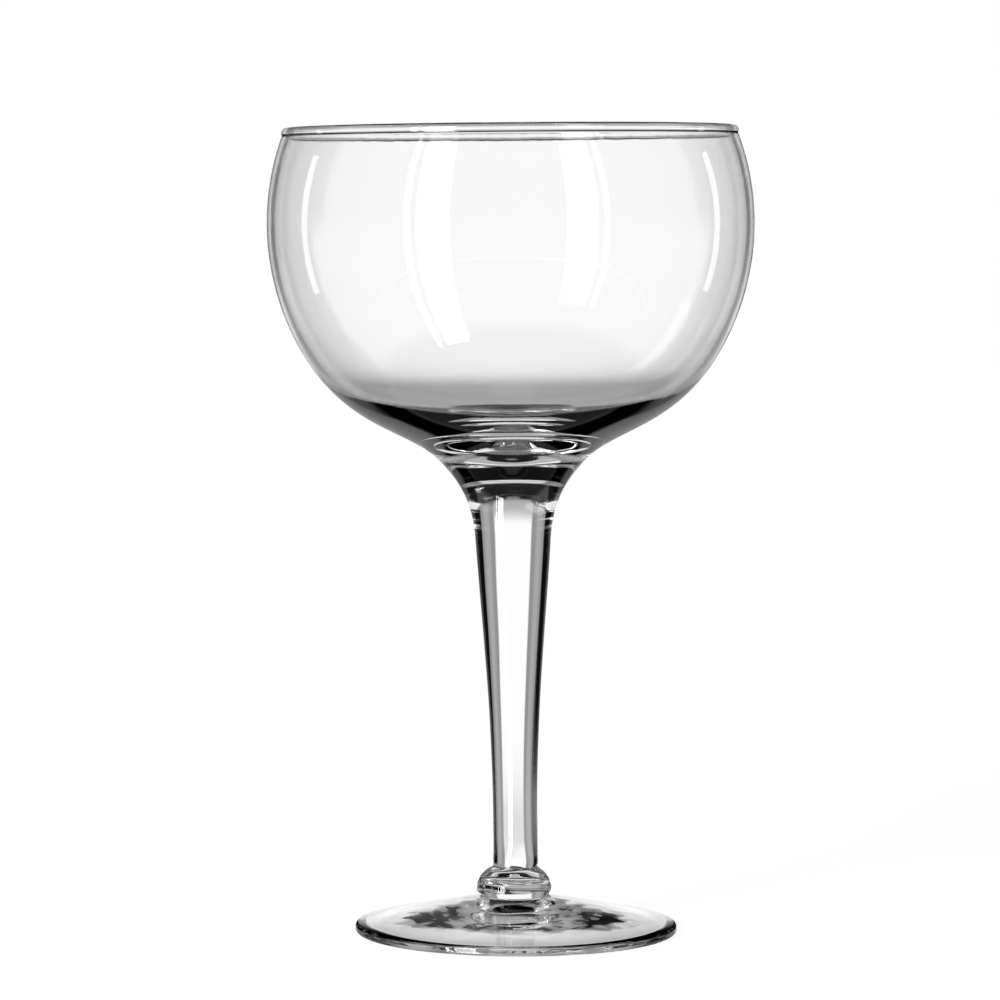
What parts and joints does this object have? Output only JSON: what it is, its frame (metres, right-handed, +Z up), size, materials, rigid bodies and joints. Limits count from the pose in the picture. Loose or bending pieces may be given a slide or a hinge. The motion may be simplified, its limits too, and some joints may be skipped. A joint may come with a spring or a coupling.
{
  "type": "coupe glass",
  "caption": "Clear stemmed cocktail glass with a deep round bowl, rolled rim, solid tapered stem, ball knop and low conical foot.",
  "frame": {"origin": "on the table, under the middle of the foot", "axes": "+Z up along the glass's axis of revolution; X and Y are equal, because the glass is round"},
  "size_m": [0.1118, 0.1118, 0.186],
  "materials": {
    "clear_glass": "colourless, fire-polished"
  },
  "bodies": {
    "root": {"bowl": "clear_glass", "stem": "clear_glass", "knop": "clear_glass", "foot": "clear_glass"}
  },
  "joints": []
}
